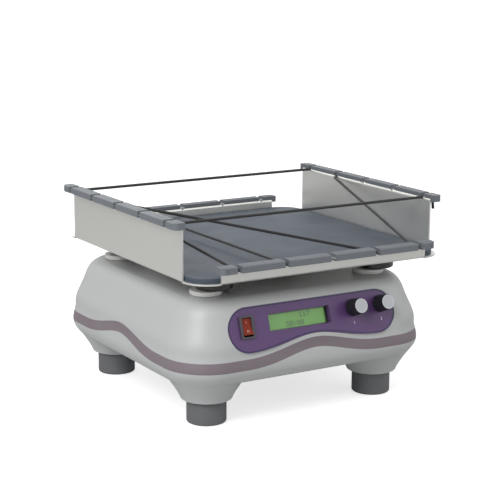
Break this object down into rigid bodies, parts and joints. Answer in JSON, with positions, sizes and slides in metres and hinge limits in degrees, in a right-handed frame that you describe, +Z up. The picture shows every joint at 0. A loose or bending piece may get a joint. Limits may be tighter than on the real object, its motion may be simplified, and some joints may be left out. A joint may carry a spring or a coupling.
{
  "type": "orbital shaker",
  "caption": "Bench orbital shaker: square tray with cords and ribbed mat circling on corner cranks over a moulded case with a sloping panel of rocker, display and push-and-turn knobs.",
  "frame": {"origin": "centre of the four feet on the bench, on the axis of the drive shaft", "axes": "+Z up, control panel facing -Y, +X to the right of a user facing the panel"},
  "size_m": [0.3066, 0.3022, 0.1973],
  "materials": {
    "housing": "fine matt grained moulding, light grey",
    "band": "matt mauve grey",
    "panel": "satin purple overlay",
    "window": "clear window",
    "lcd": "lit yellow-green display glass",
    "module": "folded frame",
    "bezel": "moulded, dark grey",
    "rocker": "orange red, satin gloss",
    "circuit": "coated circuit board",
    "encoder": "plated",
    "knob": "black, fluted",
    "cap": "pale grey",
    "rotor": "moulded",
    "foot": "grey, moulded",
    "fastener": "plated",
    "chassis": "plated sheet",
    "casting": "machined",
    "bearing": "ground",
    "motor": "enamelled",
    "shaft": "ground",
    "belt": "black",
    "weight": "machined",
    "disc": "white",
    "inlet": "black moulding",
    "blade": "plated",
    "tray": "satin sheet, brushed along its length",
    "edging": "grey, ribbed lengthwise",
    "mat": "dark blue grey, finely ribbed",
    "hub": "black",
    "cord": "black elastic cord"
  },
  "bodies": {
    "case": {"upper_cover": "housing", "base_shell": "housing", "trim_band": "band", "control_panel": "panel", "lcd_window": "window", "lcd_panel": "lcd", "lcd_module": "module", "switch_body": "bezel", "control_board": "circuit", "power_board": "circuit", "time_encoder": "encoder", "speed_encoder": "encoder", "encoder_nuts": "encoder", "foot_front_left": "foot", "foot_front_right": "foot", "foot_rear_left": "foot", "foot_rear_right": "foot", "foot_screws": "fastener", "case_screws": "fastener", "chassis_screws": "fastener", "chassis_plate": "chassis", "motor_bracket": "chassis", "drive_post": "casting", "idler_posts": "casting", "shaft_bearings": "bearing", "motor_body": "motor", "drive_belt": "belt", "inlet_body": "inlet", "inlet_pins": "blade"},
    "rocker": {"rocker": "rocker"},
    "crank": {"drive_shaft": "shaft", "driven_pulley": "casting", "counterweight": "weight"},
    "platform": {"tray": "tray", "mat": "mat", "edging": "edging", "corner_hubs": "hub", "drive_hub": "casting", "platform_bearings": "bearing", "tray_screws": "fastener", "bungee_cords": "cord"},
    "motor_turning": {"motor_rotor": "shaft", "motor_pulley": "casting"},
    "idler_front_left": {"idler_disc_front_left": "disc", "idler_shaft_front_left": "shaft"},
    "idler_front_right": {"idler_disc_front_right": "disc", "idler_shaft_front_right": "shaft"},
    "idler_rear_left": {"idler_disc_rear_left": "disc", "idler_shaft_rear_left": "shaft"},
    "idler_rear_right": {"idler_disc_rear_right": "disc", "idler_shaft_rear_right": "shaft"},
    "time_ring": {"time_rotor": "rotor"},
    "time_button": {"time_shaft": "shaft", "time_knob": "knob", "time_cap": "cap"},
    "speed_ring": {"speed_rotor": "rotor"},
    "speed_button": {"speed_shaft": "shaft", "speed_knob": "knob", "speed_cap": "cap"}
  },
  "joints": [
    {"name": "drive_turn", "type": "hinge", "parent": "case", "child": "crank", "pos_m": [0, 0, 0], "axis": [0, 0, 1], "continuous": true},
    {"name": "platform_turn", "type": "hinge", "parent": "crank", "child": "platform", "pos_m": [0.00946, 0.00083, 0], "axis": [0, 0, 1], "continuous": true},
    {"name": "motor_turn", "type": "hinge", "parent": "case", "child": "motor_turning", "pos_m": [-0.072, 0, 0], "axis": [0, 0, 1], "continuous": true},
    {"name": "idler_turn_front_left", "type": "hinge", "parent": "case", "child": "idler_front_left", "pos_m": [-0.0925, -0.0895, 0], "axis": [0, 0, 1], "continuous": true},
    {"name": "idler_turn_front_right", "type": "hinge", "parent": "case", "child": "idler_front_right", "pos_m": [0.0925, -0.0895, 0], "axis": [0, 0, 1], "continuous": true},
    {"name": "idler_turn_rear_left", "type": "hinge", "parent": "case", "child": "idler_rear_left", "pos_m": [-0.0925, 0.0895, 0], "axis": [0, 0, 1], "continuous": true},
    {"name": "idler_turn_rear_right", "type": "hinge", "parent": "case", "child": "idler_rear_right", "pos_m": [0.0925, 0.0895, 0], "axis": [0, 0, 1], "continuous": true},
    {"name": "power_rocker", "type": "hinge", "parent": "case", "child": "rocker", "pos_m": [-0.0732, -0.12941, 0.09542], "axis": [1, 0, 0], "range_deg": [0, 20]},
    {"name": "time_turn", "type": "hinge", "parent": "case", "child": "time_ring", "pos_m": [0.0456, -0.12871, 0.09898], "axis": [0, -0.9455, 0.3256], "continuous": true},
    {"name": "time_push", "type": "slide", "parent": "time_ring", "child": "time_button", "axis": [0, 0.9455, -0.3256], "range_m": [0, 0.0008], "stiffness_N_per_m": 1200, "springref_m": -0.002},
    {"name": "speed_turn", "type": "hinge", "parent": "case", "child": "speed_ring", "pos_m": [0.0772, -0.12871, 0.09898], "axis": [0, -0.9455, 0.3256], "continuous": true},
    {"name": "speed_push", "type": "slide", "parent": "speed_ring", "child": "speed_button", "axis": [0, 0.9455, -0.3256], "range_m": [0, 0.0008], "stiffness_N_per_m": 1200, "springref_m": -0.002}
  ],
  "couplings": [
    {"joint": "platform_turn", "follows": "drive_turn", "ratio": -1},
    {"joint": "motor_turn", "follows": "drive_turn", "ratio": 3},
    {"joint": "idler_turn_front_left", "follows": "drive_turn", "ratio": 1},
    {"joint": "idler_turn_front_right", "follows": "drive_turn", "ratio": 1},
    {"joint": "idler_turn_rear_left", "follows": "drive_turn", "ratio": 1},
    {"joint": "idler_turn_rear_right", "follows": "drive_turn", "ratio": 1}
  ]
}
